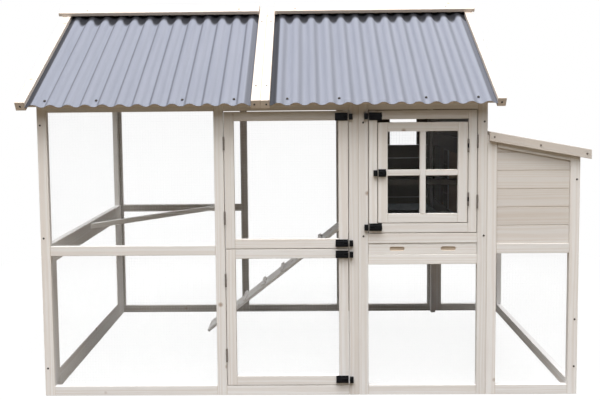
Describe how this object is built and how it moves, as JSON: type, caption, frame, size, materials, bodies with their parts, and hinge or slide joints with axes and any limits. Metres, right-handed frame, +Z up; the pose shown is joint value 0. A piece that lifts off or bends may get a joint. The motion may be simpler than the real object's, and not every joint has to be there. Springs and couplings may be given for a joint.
{
  "type": "hen house",
  "caption": "Timber hen house with a netted run, a raised house with a window door, a pull-out dropping tray, a nest bay with a hinged lid and a corrugated gable roof.",
  "frame": {"origin": "on the ground, under the middle of the whole length and depth", "axes": "+X to the right along the front, +Y from the front into the depth, +Z up"},
  "size_m": [2.547, 1.6698, 1.8452],
  "materials": {
    "whitewashed_fir": "thin white stain on sawn and planed fir",
    "plain_board": "bare planed fir",
    "roof_sheet": "slate blue-grey coated corrugated sheet",
    "galvanised_wire": "welded galvanised wire",
    "black_fittings": "black coated slide bolts",
    "dark_steel": "browned steel hinges and screws",
    "zinc_tray": "galvanised sheet",
    "clear_pane": "clear plastic sheet"
  },
  "bodies": {
    "house": {"run_front_frame": "whitewashed_fir", "run_back_frame": "whitewashed_fir", "run_left_frame": "whitewashed_fir", "house_front_frame": "whitewashed_fir", "house_back_frame": "whitewashed_fir", "house_left_frame": "whitewashed_fir", "house_right_frame": "whitewashed_fir", "nest_front_frame": "whitewashed_fir", "nest_back_frame": "whitewashed_fir", "nest_side_frame": "whitewashed_fir", "house_back_boards": "whitewashed_fir", "house_left_boards": "whitewashed_fir", "house_right_boards": "whitewashed_fir", "nest_boards": "whitewashed_fir", "roof_frame_front": "whitewashed_fir", "roof_frame_back": "whitewashed_fir", "roof_sheet_front_left": "roof_sheet", "roof_sheet_front_right": "roof_sheet", "roof_sheet_back_left": "roof_sheet", "roof_sheet_back_right": "roof_sheet", "ridge_boards": "whitewashed_fir", "run_front_mesh": "galvanised_wire", "run_back_mesh": "galvanised_wire", "run_left_mesh": "galvanised_wire", "house_and_nest_mesh": "galvanised_wire", "run_perch": "whitewashed_fir", "ramp": "whitewashed_fir", "roost_bars": "plain_board", "nest_floor": "plain_board", "nest_dividers": "plain_board", "latch_keepers": "black_fittings", "hinge_fixed_leaves": "dark_steel", "frame_screws": "dark_steel", "roof_screws": "dark_steel"},
    "upper_run_door": {"upper_door_frame": "whitewashed_fir", "upper_door_mesh": "galvanised_wire", "upper_door_hinges": "dark_steel", "upper_door_latches": "black_fittings"},
    "lower_run_door": {"lower_door_frame": "whitewashed_fir", "lower_door_mesh": "galvanised_wire", "lower_door_hinges": "dark_steel", "lower_door_latches": "black_fittings"},
    "house_door": {"house_door_frame": "whitewashed_fir", "house_door_hinges": "dark_steel", "house_door_latches": "black_fittings"},
    "window_sash": {"sash_frame": "whitewashed_fir", "sash_pane": "clear_pane", "sash_mesh": "galvanised_wire", "sash_fittings": "black_fittings"},
    "tray_drawer": {"drawer_front": "whitewashed_fir", "dropping_tray": "zinc_tray"},
    "nest_lid": {"nest_lid": "whitewashed_fir", "lid_fittings": "dark_steel"},
    "upper_door_bolt_low": {"upper_door_bolt_low": "black_fittings"},
    "upper_door_bolt_high": {"upper_door_bolt_high": "black_fittings"},
    "lower_door_bolt_low": {"lower_door_bolt_low": "black_fittings"},
    "lower_door_bolt_high": {"lower_door_bolt_high": "black_fittings"},
    "house_door_bolt_low": {"house_door_bolt_low": "black_fittings"},
    "house_door_bolt_high": {"house_door_bolt_high": "black_fittings"},
    "sash_bolt": {"sash_bolt": "black_fittings"}
  },
  "joints": [
    {"name": "upper_run_door_hinge", "type": "hinge", "parent": "house", "child": "upper_run_door", "pos_m": [-0.3505, -0.7543, 0.674], "axis": [0, 0, -1], "range_deg": [0, 110]},
    {"name": "lower_run_door_hinge", "type": "hinge", "parent": "house", "child": "lower_run_door", "pos_m": [-0.3505, -0.7543, 0.046], "axis": [0, 0, -1], "range_deg": [0, 110]},
    {"name": "house_door_hinge", "type": "hinge", "parent": "house", "child": "house_door", "pos_m": [0.776, -0.7543, 0.742], "axis": [0, 0, 1], "range_deg": [0, 95]},
    {"name": "window_sash_hinge", "type": "hinge", "parent": "house_door", "child": "window_sash", "pos_m": [0.735, -0.7543, 0.787], "axis": [0, 0, 1], "range_deg": [0, 80]},
    {"name": "tray_drawer_slide", "type": "slide", "parent": "house", "child": "tray_drawer", "axis": [0, -1, 0], "range_m": [0, 0.8]},
    {"name": "nest_lid_hinge", "type": "hinge", "parent": "house", "child": "nest_lid", "pos_m": [0.8255, 0, 1.19734], "axis": [0, -1, 0], "range_deg": [0, 70]},
    {"name": "upper_door_bolt_low_slide", "type": "slide", "parent": "upper_run_door", "child": "upper_door_bolt_low", "axis": [1, 0, 0], "range_m": [0, 0.016]},
    {"name": "upper_door_bolt_high_slide", "type": "slide", "parent": "upper_run_door", "child": "upper_door_bolt_high", "axis": [1, 0, 0], "range_m": [0, 0.016]},
    {"name": "lower_door_bolt_low_slide", "type": "slide", "parent": "lower_run_door", "child": "lower_door_bolt_low", "axis": [1, 0, 0], "range_m": [0, 0.016]},
    {"name": "lower_door_bolt_high_slide", "type": "slide", "parent": "lower_run_door", "child": "lower_door_bolt_high", "axis": [1, 0, 0], "range_m": [0, 0.016]},
    {"name": "house_door_bolt_low_slide", "type": "slide", "parent": "house_door", "child": "house_door_bolt_low", "axis": [-1, 0, 0], "range_m": [0, 0.016]},
    {"name": "house_door_bolt_high_slide", "type": "slide", "parent": "house_door", "child": "house_door_bolt_high", "axis": [-1, 0, 0], "range_m": [0, 0.016]},
    {"name": "sash_bolt_slide", "type": "slide", "parent": "window_sash", "child": "sash_bolt", "axis": [-1, 0, 0], "range_m": [0, 0.016]}
  ]
}
